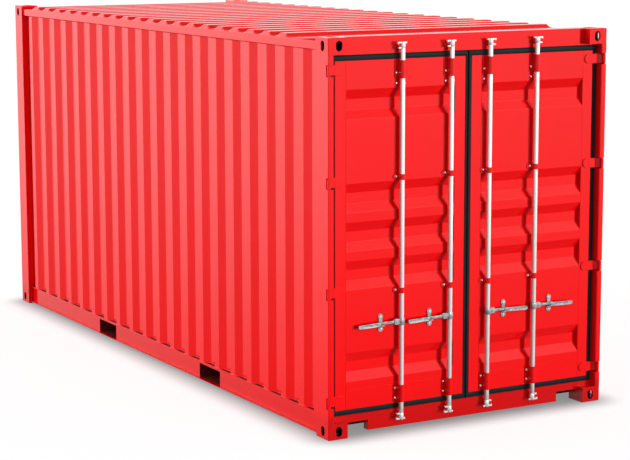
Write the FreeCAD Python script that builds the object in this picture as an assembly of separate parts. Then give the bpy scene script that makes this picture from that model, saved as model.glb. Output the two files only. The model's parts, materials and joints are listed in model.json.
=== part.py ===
import FreeCAD, Part
import os

# A twenty foot high cube dry container: welded steel frame and corrugated walls,
# two hinged cargo doors with two locking bars each.  Millimetres.
# -Y is the door end, +Z is up, the origin is the middle of the base.

# overall sizes
overallLength = 6058.0
overallWidth = 2438.0
overallHeight = 2896.0

# corner castings
castingX = 162.0
castingY = 178.0
castingZ = 118.0
castingRound = 10.0
castingSideWall = 16.0
castingEndWall = 19.0
castingFaceWall = 28.5
castingInnerWall = 10.0
slotWidth = 51.0
slotHeight = 75.0
slotFromSide = 89.0
slotFromEnd = 82.0
topSlotLength = 124.0
topSlotWidth = 63.5
topSlotFromEnd = 102.5
topSlotFromSide = 89.5

# corner posts
doorPostFace = 46.0
doorPostDepth = 209.0
doorPostStep = 129.0
doorPostBack = 66.0
postWall = 8.0
postSideWall = 6.0
postRound = 8.0
rearPostX = 66.0

# door end frame
frameSetback = 63.0
headerDepth = 120.0
headerWall = 6.0
headerDrop = 10.0
edgeRound = 7.0
sillTop = 157.0
sillUnderside = 100.0
sillLowHalf = 849.0
sillLowUnderside = 23.0
sillLowDepth = 62.0

# side rails
topRailInset = 14.0
topRailWidth = 60.0
topRailHeight = 64.0
railWall = 4.0
bottomRailInset = 45.0
bottomRailTop = 170.0
bottomRailBottom = 19.0
bottomFlangeOut = 30.0
topFlangeOut = 20.0
sheetRailWall = 5.0

# corrugated walls
sheet = 2.0
waveOuterFlat = 72.0
waveSlope = 68.0
waveDepth = 36.0
wallInset = 26.0
waveCount = 20
waveLead = 197.0
waveTail = 52.0
rearWaveCount = 8
rearWaveEnd = 6.0
rearInnerFlat = 70.0
rearWaveDepth = 45.0
rearWallInset = 18.0
rearLedge = 70.0
rearRailInset = 14.0

# roof
roofBelowTop = 30.0
roofRise = 27.0
ribCount = 20
ribCrest = 92.0
ribSlope = 48.0
ribLead = 516.0
ribTail = 334.0
ribEndInset = 8.0
ribEndSlope = 28.0

# floor and underframe
floorThickness = 28.0
floorSideGap = 22.0
crossHeight = 122.0
crossFlange = 45.0
crossWall = 4.5
crossEndCount = 5
crossMiddleCount = 6
crossEndGap = 60.0
crossPocketGap = 60.0
pocketCentre = 1025.0
pocketWidth = 368.0
pocketWall = 4.0
strapLength = 300.0

# doors
sealGap = 1.5
centreGap = 5.0
sealSide = 40.0
sealCentre = 24.0
sealDepth = 35.0
doorSetback = 58.0
doorDepth = 56.0
stileWidth = 90.0
doorRailHeight = 90.0
frameRound = 4.0
grooveSlope = 64.0
grooveFlat = 80.0
grooveDepth = 34.0
grooveEnd = 311.5
grooveSpacing = 280.0

# hinges
hingeCount = 4
hingeFromFoot = 73.5
hingeFromTop = 61.5
pinInset = 13.0
pinRadius = 8.0
pinClearance = 0.05
knuckleRadius = 12.0
knuckleHeight = 70.0
notchHeight = 82.0
notchSideDepth = 31.0
notchInnerDepth = 64.0
lugThickness = 10.0
bladeThickness = 9.0
bladeReach = 152.0

# locking bars
rodPositions = (590.0, 169.0)
rodRadius = 17.0
rodSetback = 23.0
rodEndMargin = 46.0
rodFoot = 80.0
rodClearance = 0.05
sleeveWall = 5.0
bearingHeight = 130.0
bearingFromTop = 72.0
bearingFromFoot = 78.0
bearingWidth = 96.0
guideSpacing = 832.0
guideSize = 42.0
plateThickness = 6.0
boltRadius = 5.0
boltProud = 4.0

# cams and keepers
camBar = 12.0
camJaw = 26.0
camReach = 45.0
camTail = 32.0
keeperGap = 6.0
camDepth = 18.0
keeperWidth = 62.0
keeperThickness = 9.0
keeperNose = 12.0
noseTipGap = 8.0
noseReach = 43.0

# handles
handleHeight = 815.0
handlePivot = 45.0
handleBar = 8.0
handleBarHeight = 26.0
handleLength = 365.0
handlePinRadius = 6.0
hubHalfHeight = 20.0
forkWall = 6.0
forkGap = 0.5
gripStart = 188.0
gripHeight = 30.0
gripDrop = 8.0
catchFromRod = 162.0
catchHeight = 130.0
catchWidth = 40.0
catchThickness = 8.0
catchLedge = 8.0
catchGap = 0.3

halfWidth = overallWidth / 2
halfLength = overallLength / 2
frontY = -halfLength
frameY = frontY + frameSetback
doorY = frontY + doorSetback
rodY = frontY + rodSetback
postTop = overallHeight - castingZ
headerUnderside = postTop - headerDrop
openingHalf = halfWidth - doorPostFace
roofZ = overallHeight - roofBelowTop
topRailFoot = roofZ - topRailHeight
floorFoot = bottomRailTop - floorThickness
postInner = halfWidth - doorPostBack
doorPostEnd = frontY + doorPostDepth
rearPostEnd = halfLength - castingY
between = halfWidth - castingX
doorFoot = sillTop + sealGap
doorTop = headerUnderside - sealGap
leafFoot = doorFoot + sealSide
leafTop = doorTop - sealSide
leafOuter = openingHalf - sealGap - sealSide
leafInner = centreGap / 2 + sealCentre
leafMiddle = (leafFoot + leafTop) / 2
hingeStep = (leafTop - hingeFromTop - leafFoot - hingeFromFoot) / (hingeCount - 1)
hingeHeights = [leafFoot + hingeFromFoot + hingeStep * index for index in range(hingeCount)]
grooveHeights = [leafFoot + grooveEnd, leafMiddle - grooveSpacing, leafMiddle,
                 leafMiddle + grooveSpacing, leafTop - grooveEnd]
guideHeights = [leafMiddle - guideSpacing / 2, leafMiddle + guideSpacing / 2]


def point(x, y, z=0.0):
    return FreeCAD.Vector(x, y, z)


def block(x0, x1, y0, y1, z0, z1):
    return Part.makeBox(x1 - x0, y1 - y0, z1 - z0, point(x0, y0, z0))


def flatFace(points):
    return Part.Face(Part.makePolygon(points + [points[0]]))


def alongX(outline, x0, x1):
    return flatFace([point(x0, y, z) for y, z in outline]).extrude(point(x1 - x0, 0, 0))


def alongY(outline, y0, y1):
    return flatFace([point(x, y0, z) for x, z in outline]).extrude(point(0, y1 - y0, 0))


def alongZ(outline, z0, z1):
    return flatFace([point(x, y, z0) for x, y in outline]).extrude(point(0, 0, z1 - z0))


def rod(radius, start, end):
    return Part.makeCylinder(radius, start.distanceToPoint(end), start, end.sub(start))


def fuse(*shapes):
    return shapes[0].multiFuse(list(shapes[1:])).removeSplitter()


def evenly(first, last, count):
    return [first + (last - first) * index / (count - 1) for index in range(count)]


def acrossX(shape):
    return shape.mirror(point(0, 0, 0), point(1, 0, 0))


def acrossY(shape):
    return shape.mirror(point(0, 0, 0), point(0, 1, 0))


def save(node, *shapes):
    solids = [solid for shape in shapes for solid in shape.Solids]
    whole = solids[0] if len(solids) == 1 else Part.makeCompound(solids)
    whole.exportStep("parts/" + node + ".step")


def standsAt(edge, y):
    """True for an upright edge at that y."""
    return edge.BoundBox.ZLength > 1 and abs(edge.BoundBox.YMin - y) + abs(edge.BoundBox.YMax - y) < 1


def stadium(width, length, depth):
    """A straight-sided oval hole tool: width across, length along X, depth along Z."""
    radius = width / 2
    half = length / 2 - radius
    top = Part.LineSegment(point(-half, radius), point(half, radius))
    right = Part.Arc(point(half, radius), point(half + radius, 0), point(half, -radius))
    foot = Part.LineSegment(point(half, -radius), point(-half, -radius))
    left = Part.Arc(point(-half, -radius), point(-half - radius, 0), point(-half, radius))
    wire = Part.Wire([curve.toShape() for curve in (top, right, foot, left)])
    return Part.Face(wire).extrude(point(0, 0, depth))


def corrugation(crests, start, end, outer, inner, flat, slope, thickness):
    """Outline of a trapezoid-wave sheet: (along, across) points, crests at the outer line."""
    line = [(start, inner)]
    for crest in crests:
        line += [(crest - slope, inner), (crest, outer), (crest + flat, outer),
                 (crest + flat + slope, inner)]
    line.append((end, inner))
    shift = thickness if inner > outer else -thickness
    return line + [(along, across + shift) for along, across in reversed(line)]


# ---- corner castings ----

def castingAtCorner():
    """Bottom casting whose outer corner is at the origin, reaching along +X, +Y and +Z."""
    body = Part.makeBox(castingX, castingY, castingZ)
    outer = [edge for edge in body.Edges
             if sum(abs(edge.CenterOfMass[axis]) < 0.01 for axis in range(3)) == 2]
    body = body.makeFillet(castingRound, outer)
    cavity = block(castingSideWall, castingX - castingInnerWall,
                   castingEndWall, castingY - castingInnerWall,
                   castingFaceWall, castingZ - castingInnerWall)
    upright = stadium(slotWidth, slotHeight, castingEndWall + 2)
    endSlot = upright.copy()
    endSlot.rotate(point(0, 0, 0), point(0, 1, 0), 90)
    endSlot.rotate(point(0, 0, 0), point(0, 0, 1), 90)
    endSlot.translate(point(slotFromSide, -1, castingZ / 2))
    sideSlot = upright.copy()
    sideSlot.rotate(point(0, 0, 0), point(0, 1, 0), 90)
    sideSlot.translate(point(-1, slotFromEnd, castingZ / 2))
    faceSlot = stadium(topSlotWidth, topSlotLength, castingFaceWall + 2)
    faceSlot.rotate(point(0, 0, 0), point(0, 0, 1), 90)
    faceSlot.translate(point(topSlotFromSide, topSlotFromEnd, -1))
    return body.cut(cavity).cut(endSlot).cut(sideSlot).cut(faceSlot)


def makeCastings():
    corner = castingAtCorner()
    corner.translate(point(-halfWidth, -halfLength, 0))
    bottom = [corner, acrossX(corner), acrossY(corner), acrossX(acrossY(corner))]
    save("corner_castings_bottom", *bottom)
    middle = point(0, 0, overallHeight / 2)
    save("corner_castings_top", *[shape.mirror(middle, point(0, 0, 1)) for shape in bottom])


# ---- corner posts and hinge pins ----

def doorPost():
    """Hollow post at the right of the door end, with the hinge notches and their lugs."""
    outline = [(halfWidth, frontY), (halfWidth, frontY + doorPostDepth),
               (halfWidth - doorPostBack, frontY + doorPostDepth),
               (halfWidth - doorPostBack, frontY + doorPostStep),
               (openingHalf, frontY + doorPostStep), (openingHalf, frontY)]
    hollow = [(halfWidth - postSideWall, frontY + postWall),
              (halfWidth - postSideWall, frontY + doorPostDepth - postWall),
              (halfWidth - doorPostBack + postWall, frontY + doorPostDepth - postWall),
              (halfWidth - doorPostBack + postWall, frontY + doorPostStep + postWall),
              (openingHalf + postWall, frontY + doorPostStep + postWall),
              (openingHalf + postWall, frontY + postWall)]
    body = alongZ(outline, castingZ, postTop)
    body = body.makeFillet(postRound, [edge for edge in body.Edges if standsAt(edge, frontY)])
    post = body.cut(alongZ(hollow, castingZ, postTop))
    half = notchHeight / 2
    for height in hingeHeights:
        lugs = block(openingHalf, halfWidth, frontY, frontY + notchInnerDepth,
                     height - half - lugThickness, height + half + lugThickness)
        post = post.fuse(lugs.common(body))
    for height in hingeHeights:
        inner = block(openingHalf - 1, halfWidth - postSideWall, frontY - 1,
                      frontY + notchInnerDepth, height - half, height + half)
        side = block(openingHalf - 1, halfWidth + 1, frontY - 1,
                     frontY + notchSideDepth, height - half, height + half)
        pin = rod(pinRadius, point(halfWidth - pinInset, frontY + pinInset, height - half - 50),
                  point(halfWidth - pinInset, frontY + pinInset, height + half + 50))
        post = post.cut(fuse(inner, side)).cut(pin)
    return post.removeSplitter()


def hingePins():
    reach = notchHeight / 2 + lugThickness
    return [rod(pinRadius, point(halfWidth - pinInset, frontY + pinInset, height - reach),
                point(halfWidth - pinInset, frontY + pinInset, height + reach))
            for height in hingeHeights]


def makePosts():
    post = doorPost()
    save("door_post_right", post)
    save("door_post_left", acrossX(post))
    pins = hingePins()
    save("hinge_pins_right", *pins)
    save("hinge_pins_left", *[acrossX(pin) for pin in pins])
    rear = block(halfWidth - rearPostX, halfWidth, rearPostEnd, halfLength, castingZ, postTop)
    rear = rear.makeFillet(castingRound, [edge for edge in rear.Edges
                                          if edge.CenterOfMass.x > halfWidth - 1
                                          and edge.CenterOfMass.y > halfLength - 1])
    rear = rear.cut(block(halfWidth - rearPostX + postSideWall, halfWidth - postSideWall,
                          rearPostEnd + postSideWall, halfLength - postSideWall,
                          castingZ, postTop))
    save("rear_post_right", rear)
    save("rear_post_left", acrossX(rear))


# ---- end frames ----

def makeHeader():
    back = frameY + headerDepth
    step = frontY + doorPostStep
    body = block(-between, between, frameY, back, headerUnderside, overallHeight)
    front = [edge for edge in body.Edges
             if edge.CenterOfMass.z > overallHeight - 1 and edge.CenterOfMass.y < frameY + 1]
    body = body.makeFillet(edgeRound, front)
    lip = block(-openingHalf, openingHalf, frameY, step, headerUnderside, postTop)
    shoulder = block(-postInner, postInner, step, back, headerUnderside, postTop)
    hollow = block(-between + headerWall, between - headerWall, frameY + headerWall,
                   back - headerWall, headerUnderside + headerWall, overallHeight - headerWall)
    save("door_header", fuse(body, lip, shoulder).cut(hollow))


def makeSill():
    step = frontY + doorPostStep
    wall = sheetRailWall
    front = block(-openingHalf, openingHalf, frameY, frameY + wall, castingZ, sillTop)
    plate = block(-openingHalf, openingHalf, frameY, step, sillTop - wall, sillTop)
    inner = block(-postInner, postInner, step, doorPostEnd, sillTop - wall, sillTop)
    low = block(-between, between, frameY, frameY + wall, sillUnderside, castingZ)
    skirt = block(-sillLowHalf, sillLowHalf, frameY, frameY + wall,
                  sillLowUnderside, sillUnderside)
    foot = block(-sillLowHalf, sillLowHalf, frameY, frameY + sillLowDepth,
                 sillLowUnderside, sillLowUnderside + wall)
    ends = [block(x0, x0 + wall, frameY, frameY + sillLowDepth, sillLowUnderside, sillTop)
            for x0 in (-sillLowHalf, sillLowHalf - wall)]
    save("door_sill", fuse(front, plate, inner, low, skirt, foot, *ends))


def makeRearRails():
    inner = halfWidth - rearPostX
    wall = sheetRailWall
    rear = halfLength - rearRailInset
    top = block(-between, between, rear - topRailWidth, rear, postTop, roofZ)
    top = top.cut(block(-between, between, rear - topRailWidth + wall, rear - wall,
                        postTop + wall, roofZ - wall))
    save("rear_top_rail", top)
    face = halfLength - rearWallInset
    web = block(-between, between, face - wall, face, bottomRailBottom, castingZ)
    upper = block(-inner, inner, face - wall, face, castingZ, bottomRailTop)
    ledge = block(-inner, inner, face - rearLedge, face - wall, bottomRailTop - wall,
                  bottomRailTop)
    foot = block(-between, between, face - rearLedge, face - wall, bottomRailBottom,
                 bottomRailBottom + wall)
    save("rear_bottom_rail", fuse(web, upper, ledge, foot))


# ---- side rails ----

def makeTopRails():
    outer = halfWidth - topRailInset
    inner = outer - topRailWidth
    rail = block(inner, outer, -rearPostEnd, rearPostEnd, topRailFoot, roofZ)
    rail = rail.makeFillet(edgeRound, [edge for edge in rail.Edges
                                       if edge.CenterOfMass.x > outer - 1
                                       and abs(edge.CenterOfMass.y) < 1])
    rail = rail.cut(block(inner + railWall, outer - railWall, -rearPostEnd, rearPostEnd,
                          topRailFoot + railWall, roofZ - railWall))
    cap = block(inner, outer, -rearPostEnd, doorPostEnd, postTop, topRailFoot)
    rail = fuse(rail, cap)
    save("top_side_rail_right", rail)
    save("top_side_rail_left", acrossX(rail))


def bottomRail():
    """Channel with its flanges outwards, its web cut through at the two fork pockets."""
    face = halfWidth - bottomRailInset
    wall = sheetRailWall
    lower = block(face - wall, face, -rearPostEnd, rearPostEnd, bottomRailBottom, castingZ)
    upper = block(face - wall, face, doorPostEnd, rearPostEnd, castingZ, bottomRailTop)
    foot = block(face, face + bottomFlangeOut, -rearPostEnd, rearPostEnd, bottomRailBottom,
                 bottomRailBottom + wall)
    head = block(face, face + topFlangeOut, doorPostEnd, rearPostEnd, bottomRailTop - wall,
                 bottomRailTop)
    ledge = block(postInner - floorSideGap, face - wall, doorPostEnd, rearPostEnd,
                  bottomRailTop - wall, bottomRailTop)
    rail = fuse(lower, upper, foot, head, ledge)
    for centre in (-pocketCentre, pocketCentre):
        rail = rail.cut(block(face - wall - 1, face + 1, centre - pocketWidth / 2,
                              centre + pocketWidth / 2, bottomRailBottom + wall,
                              floorFoot - pocketWall))
    return rail


def makeBottomRails():
    rail = bottomRail()
    save("bottom_side_rail_right", rail)
    save("bottom_side_rail_left", acrossX(rail))


# ---- walls and roof ----

def makeSideWalls():
    outer = halfWidth - wallInset
    first = doorPostEnd + waveLead
    last = rearPostEnd - waveTail - waveSlope - waveOuterFlat
    crests = evenly(first, last, waveCount)
    outline = corrugation(crests, doorPostEnd, rearPostEnd, outer, outer - waveDepth,
                          waveOuterFlat, waveSlope, sheet)
    wall = alongZ([(x, y) for y, x in outline], bottomRailTop, topRailFoot)
    save("side_wall_right", wall)
    save("side_wall_left", acrossX(wall))


def makeRearWall():
    half = halfWidth - rearPostX
    outer = halfLength - rearWallInset
    side = half - rearWaveEnd - waveSlope - (rearInnerFlat + waveOuterFlat) / 2
    crests = [middle - waveOuterFlat / 2 for middle in evenly(-side, side, rearWaveCount)]
    outline = corrugation(crests, -half, half, outer, outer - rearWaveDepth,
                          waveOuterFlat, waveSlope, sheet)
    save("rear_wall", alongZ(outline, bottomRailTop, postTop))


def rectangle(half, y0, y1, z):
    return Part.makePolygon([point(-half, y0, z), point(half, y0, z), point(half, y1, z),
                             point(-half, y1, z), point(-half, y0, z)])


def roofRib(crest, foot):
    """A raised rib sloped on all four sides, from the top of the sheet at height foot."""
    topHalf = halfWidth - topRailInset - edgeRound - ribEndInset - ribEndSlope
    grow = (roofRise + sheet) / roofRise
    low = rectangle(topHalf + ribEndSlope * grow, crest - ribSlope * grow,
                    crest + ribCrest + ribSlope * grow, foot - sheet)
    high = rectangle(topHalf, crest, crest + ribCrest, foot + roofRise)
    return Part.makeLoft([low, high], True, True)


def makeRoof():
    """Sheet over the rails, notched round the rear castings, with pressed cross ribs."""
    half = halfWidth - topRailInset - edgeRound
    rear = halfLength - rearRailInset - edgeRound
    plate = block(-half, half, frameY + headerDepth, rear, roofZ, roofZ + sheet)
    for x0, x1 in ((-half, -between), (between, half)):
        plate = plate.cut(block(x0, x1, rearPostEnd, rear, roofZ, roofZ + sheet))
    first = frameY + headerDepth + ribLead
    crests = evenly(first, rear - ribTail - ribSlope - ribCrest, ribCount)
    plate = plate.multiFuse([roofRib(crest, roofZ + sheet) for crest in crests])
    cavities = Part.makeCompound([roofRib(crest, roofZ) for crest in crests])
    save("roof", plate.cut(cavities))


# ---- floor and underframe ----

def makeFloor():
    half = postInner - floorSideGap
    rear = halfLength - rearWallInset - rearLedge
    save("floor", block(-half, half, doorPostEnd, rear, floorFoot, bottomRailTop))


def crossMember(y, half):
    web = block(-half, half, y, y + crossWall, floorFoot - crossHeight, floorFoot)
    head = block(-half, half, y + crossWall, y + crossFlange, floorFoot - crossWall, floorFoot)
    foot = block(-half, half, y + crossWall, y + crossFlange, floorFoot - crossHeight,
                 floorFoot - crossHeight + crossWall)
    return fuse(web, head, foot)


def makeCrossMembers():
    half = halfWidth - bottomRailInset - sheetRailWall
    pocketSide = pocketCentre + pocketWidth / 2 + pocketWall + crossPocketGap
    inside = pocketCentre - pocketWidth / 2 - pocketWall - crossPocketGap
    starts = evenly(doorPostEnd + crossEndGap, -pocketSide - crossFlange, crossEndCount)
    starts += evenly(-inside, inside - crossFlange, crossMiddleCount)
    starts += evenly(pocketSide, rearPostEnd - crossEndGap - crossFlange, crossEndCount)
    save("floor_cross_members", *[crossMember(start, half) for start in starts])


def makePockets():
    half = halfWidth - bottomRailInset - sheetRailWall
    strapTop = bottomRailBottom + sheetRailWall
    tunnels = []
    for centre in (-pocketCentre, pocketCentre):
        y0 = centre - pocketWidth / 2
        y1 = centre + pocketWidth / 2
        sides = [block(-half, half, start, start + pocketWall, bottomRailBottom, floorFoot)
                 for start in (y0 - pocketWall, y1)]
        cover = block(-half, half, y0, y1, floorFoot - pocketWall, floorFoot)
        straps = [block(x0, x0 + strapLength, y0, y1, bottomRailBottom, strapTop)
                  for x0 in (-half, half - strapLength)]
        tunnels.append(fuse(cover, *sides, *straps))
    save("fork_pockets", *tunnels)


# ---- doors: everything is made for the right door and mirrored for the left ----

def doorFrame():
    y1 = doorY + doorDepth
    stiles = [block(x0, x0 + stileWidth, doorY, y1, leafFoot, leafTop)
              for x0 in (leafInner, leafOuter - stileWidth)]
    stiles = [stile.makeFillet(frameRound, [edge for edge in stile.Edges
                                            if standsAt(edge, doorY)]) for stile in stiles]
    rails = [block(leafInner + stileWidth, leafOuter - stileWidth, doorY + sheet, y1, z0,
                   z0 + doorRailHeight) for z0 in (leafFoot, leafTop - doorRailHeight)]
    return fuse(*stiles, *rails)


def doorPanel():
    """Sheet with five horizontal grooves, between the stiles."""
    line = [(doorY, leafFoot)]
    for height in grooveHeights:
        foot = height - grooveFlat / 2 - grooveSlope
        line += [(doorY, foot), (doorY + grooveDepth, foot + grooveSlope),
                 (doorY + grooveDepth, foot + grooveSlope + grooveFlat),
                 (doorY, foot + 2 * grooveSlope + grooveFlat)]
    line.append((doorY, leafTop))
    back = [(y + sheet, z) for y, z in reversed(line)]
    return alongX(line + back, leafInner + stileWidth, leafOuter - stileWidth)


def doorSeal():
    y1 = doorY + sealDepth
    outer = block(centreGap / 2, openingHalf - sealGap, doorY, y1, doorFoot, doorTop)
    return outer.cut(block(leafInner, leafOuter, doorY, y1, leafFoot, leafTop))


def hingeBlade(height):
    """Knuckle on the pin and a cranked blade that lies on the door's stile."""
    px = halfWidth - pinInset
    py = frontY + pinInset
    faceY = doorY - py
    frontFace = faceY - bladeThickness
    half = knuckleHeight / 2
    crank = [(-12.0, 0.0), (-12.0, 18.0), (-36.0, frontFace), (-60.0, frontFace),
             (-60.0, faceY), (-30.0, faceY), (-2.0, 24.0), (12.0, 0.0)]
    link = alongZ([(px + x, py + y) for x, y in crank], height - half, height + half)
    tip = px - bladeReach
    shoulder = px - 60.0
    blade = block(tip + half, shoulder + 1, doorY - bladeThickness, doorY,
                  height - half, height + half)
    end = rod(half, point(tip + half, doorY - bladeThickness, height),
              point(tip + half, doorY, height))
    knuckle = rod(knuckleRadius, point(px, py, height - half), point(px, py, height + half))
    hole = rod(pinRadius + pinClearance, point(px, py, height - half - 1),
               point(px, py, height + half + 1))
    return fuse(knuckle, link, blade, end).cut(hole)


def rodTube(x, z0, z1, radius):
    return rod(radius, point(x, rodY, z0), point(x, rodY, z1))


def bearing(x, z0):
    """Long sleeve on a plate with two bolts each side of the bar."""
    z1 = z0 + bearingHeight
    radius = rodRadius + rodClearance + sleeveWall
    half = bearingWidth / 2
    plate = block(x - half, x + half, doorY - plateThickness, doorY, z0, z1)
    saddle = block(x - radius, x + radius, rodY, doorY, z0, z1)
    bolts = [rod(boltRadius, point(x + side * (half - 12), doorY - plateThickness - boltProud, z),
                 point(x + side * (half - 12), doorY - plateThickness, z))
             for side in (-1, 1) for z in (z0 + 28, z1 - 28)]
    body = fuse(plate, saddle, rodTube(x, z0, z1, radius), *bolts)
    return body.cut(rodTube(x, z0 - 1, z1 + 1, rodRadius + rodClearance))


def guide(x, z, side):
    """Short collar on a round flange with one bolt beside the bar."""
    radius = rodRadius + rodClearance + sleeveWall
    half = guideSize / 2
    beside = x + side * 36.0
    flange = rod(half + 2, point(beside, doorY - plateThickness, z), point(beside, doorY, z))
    bridge = block(min(beside, x + radius * -side), max(beside, x + radius * -side),
                   doorY - plateThickness, doorY, z - half, z + half)
    saddle = block(x - radius, x + radius, rodY, doorY, z - half, z + half)
    bolt = rod(boltRadius + 2, point(beside, doorY - plateThickness - 7, z),
               point(beside, doorY - plateThickness, z))
    body = fuse(flange, bridge, saddle, rodTube(x, z - half, z + half, radius), bolt)
    return body.cut(rodTube(x, z - half - 1, z + half + 1, rodRadius + rodClearance))


def handleCatch(x):
    """Two-lobed plate on the door with a ledge under the handle."""
    centre = x + catchFromRod
    half = catchHeight / 2
    lobe = catchWidth / 2
    plates = [rod(lobe, point(centre, doorY - catchThickness, z), point(centre, doorY, z))
              for z in (handleHeight - half + lobe, handleHeight + half - lobe)]
    waist = block(centre - lobe * 0.7, centre + lobe * 0.7, doorY - catchThickness, doorY,
                  handleHeight - half + lobe, handleHeight + half - lobe)
    under = handleHeight - handleBarHeight / 2 - catchGap
    ledge = block(centre - lobe * 0.7, centre + lobe * 0.7, rodY - handleBar, doorY,
                  under - catchLedge, under)
    body = fuse(*plates, waist, ledge)
    for z in (handleHeight - half + lobe, handleHeight + half - lobe):
        body = body.cut(rod(boltRadius, point(centre, doorY - catchThickness, z),
                            point(centre, doorY, z)))
    return body


def cam(x):
    """Forged cam on the top end of a bar: a jaw towards the hinge side and a tail."""
    top = overallHeight - rodEndMargin
    jawFoot = top - camBar - camJaw
    y0 = rodY - camDepth / 2
    y1 = rodY + camDepth / 2
    web = rodRadius + 1.5
    head = block(x - camTail, x + camReach, y0, y1, top - camBar, top)
    prong = block(x, x + camReach - 5, y0, y1, jawFoot - camBar, jawFoot)
    hub = rodTube(x, jawFoot - camBar, top, web)
    return fuse(head, prong, hub)


def lockRod(x):
    top = overallHeight - rodEndMargin
    middle = (top + rodFoot) / 2
    upper = cam(x)
    lower = upper.mirror(point(0, 0, middle), point(0, 0, 1))
    bar = rodTube(x, rodFoot, top, rodRadius)
    z0 = handleHeight - hubHalfHeight
    z1 = handleHeight + hubHalfHeight
    reach = handlePivot + 18.0
    depth = handleBar / 2 + forkGap + forkWall
    fork = block(x, x + reach, rodY - depth, rodY + depth, z0, z1)
    slot = block(x + rodRadius + 4, x + reach + 1, rodY - handleBar / 2 - forkGap,
                 rodY + handleBar / 2 + forkGap, z0 - 1, z1 + 1)
    collar = rodTube(x, z0 - 6, z1 + 6, rodRadius + 5)
    pin = rod(handlePinRadius, point(x + handlePivot, rodY - depth - 3, handleHeight),
              point(x + handlePivot, rodY + depth, handleHeight))
    return fuse(bar, upper, lower, fork.cut(slot), collar, pin)


def handle(x):
    y0 = rodY - handleBar / 2
    y1 = rodY + handleBar / 2
    half = handleBarHeight / 2
    start = x + handlePivot
    eye = rod(half, point(start, y0, handleHeight), point(start, y1, handleHeight))
    arm = block(start, x + gripStart + 12, y0, y1, handleHeight - half, handleHeight + half)
    gripZ = handleHeight - gripDrop
    gripHalf = gripHeight / 2
    end = x + handleLength - gripHalf
    grip = block(x + gripStart, end, y0 - 2, y1 + 2, gripZ - gripHalf, gripZ + gripHalf)
    tip = rod(gripHalf, point(end, y0 - 2, gripZ), point(end, y1 + 2, gripZ))
    hole = rod(handlePinRadius + pinClearance, point(start, y0 - 1, handleHeight),
               point(start, y1 + 1, handleHeight))
    return fuse(eye, arm, grip, tip).cut(hole)


def keeper(x):
    """Plate on the header with a nose that sits in the cam's jaw, open to the front."""
    top = overallHeight - rodEndMargin
    jawTop = top - camBar
    jawFoot = jawTop - camJaw
    nose = (jawTop + jawFoot) / 2
    z0 = jawFoot - camBar - keeperGap
    z1 = jawTop - keeperGap
    y0 = frameY - keeperThickness
    x0 = x - 10
    x1 = x + keeperWidth - 10
    bevel = 12.0
    plate = alongY([(x0, z0 + bevel), (x0, z1 - bevel), (x0 + bevel, z1), (x1 - bevel, z1),
                    (x1, z1 - bevel), (x1, z0 + bevel), (x1 - bevel, z0), (x0 + bevel, z0)],
                   y0, frameY)
    arm = block(x + rodRadius + noseTipGap, x + noseReach, rodY, frameY,
                nose - keeperNose / 2, nose + keeperNose / 2)
    return fuse(plate, arm)


def onDoor(node, side, *shapes):
    save(node + side, *[acrossX(shape) if side == "_left" else shape for shape in shapes])


def makeDoors():
    frame, panel, seal = doorFrame(), doorPanel(), doorSeal()
    hinges = [hingeBlade(height) for height in hingeHeights]
    bearings = [bearing(x, z) for x in rodPositions
                for z in (leafTop - bearingFromTop - bearingHeight / 2,
                          leafFoot + bearingFromFoot - bearingHeight / 2)]
    catches = [handleCatch(x) for x in rodPositions]
    for side, flangeSide in (("_left", 1), ("_right", -1)):
        guides = [guide(x, z, flangeSide) for x in rodPositions for z in guideHeights]
        onDoor("door_frame", side, frame)
        onDoor("door_panel", side, panel)
        onDoor("door_seal", side, seal)
        onDoor("door_hinges", side, *hinges)
        onDoor("bar_brackets", side, *bearings, *guides)
        onDoor("handle_catches", side, *catches)
        for place, x in zip(("_outer", "_inner"), rodPositions):
            onDoor("lock_bar" + place, side, lockRod(x))
            onDoor("lock_handle" + place, side, handle(x))


def makeKeepers():
    upper = [keeper(x) for x in rodPositions]
    upper += [acrossX(shape) for shape in upper]
    save("cam_keepers_top", *upper)
    middle = (overallHeight - rodEndMargin + rodFoot) / 2
    save("cam_keepers_bottom",
         *[shape.mirror(point(0, 0, middle), point(0, 0, 1)) for shape in upper])


def main():
    os.makedirs("parts", exist_ok=True)
    makeCastings()
    makePosts()
    makeHeader()
    makeSill()
    makeRearRails()
    makeTopRails()
    makeBottomRails()
    makeSideWalls()
    makeRearWall()
    makeRoof()
    makeFloor()
    makeCrossMembers()
    makePockets()
    makeDoors()
    makeKeepers()


main()
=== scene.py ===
import json
import math

import bmesh
import bpy
import numpy as np
from mathutils import Matrix, Vector

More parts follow.
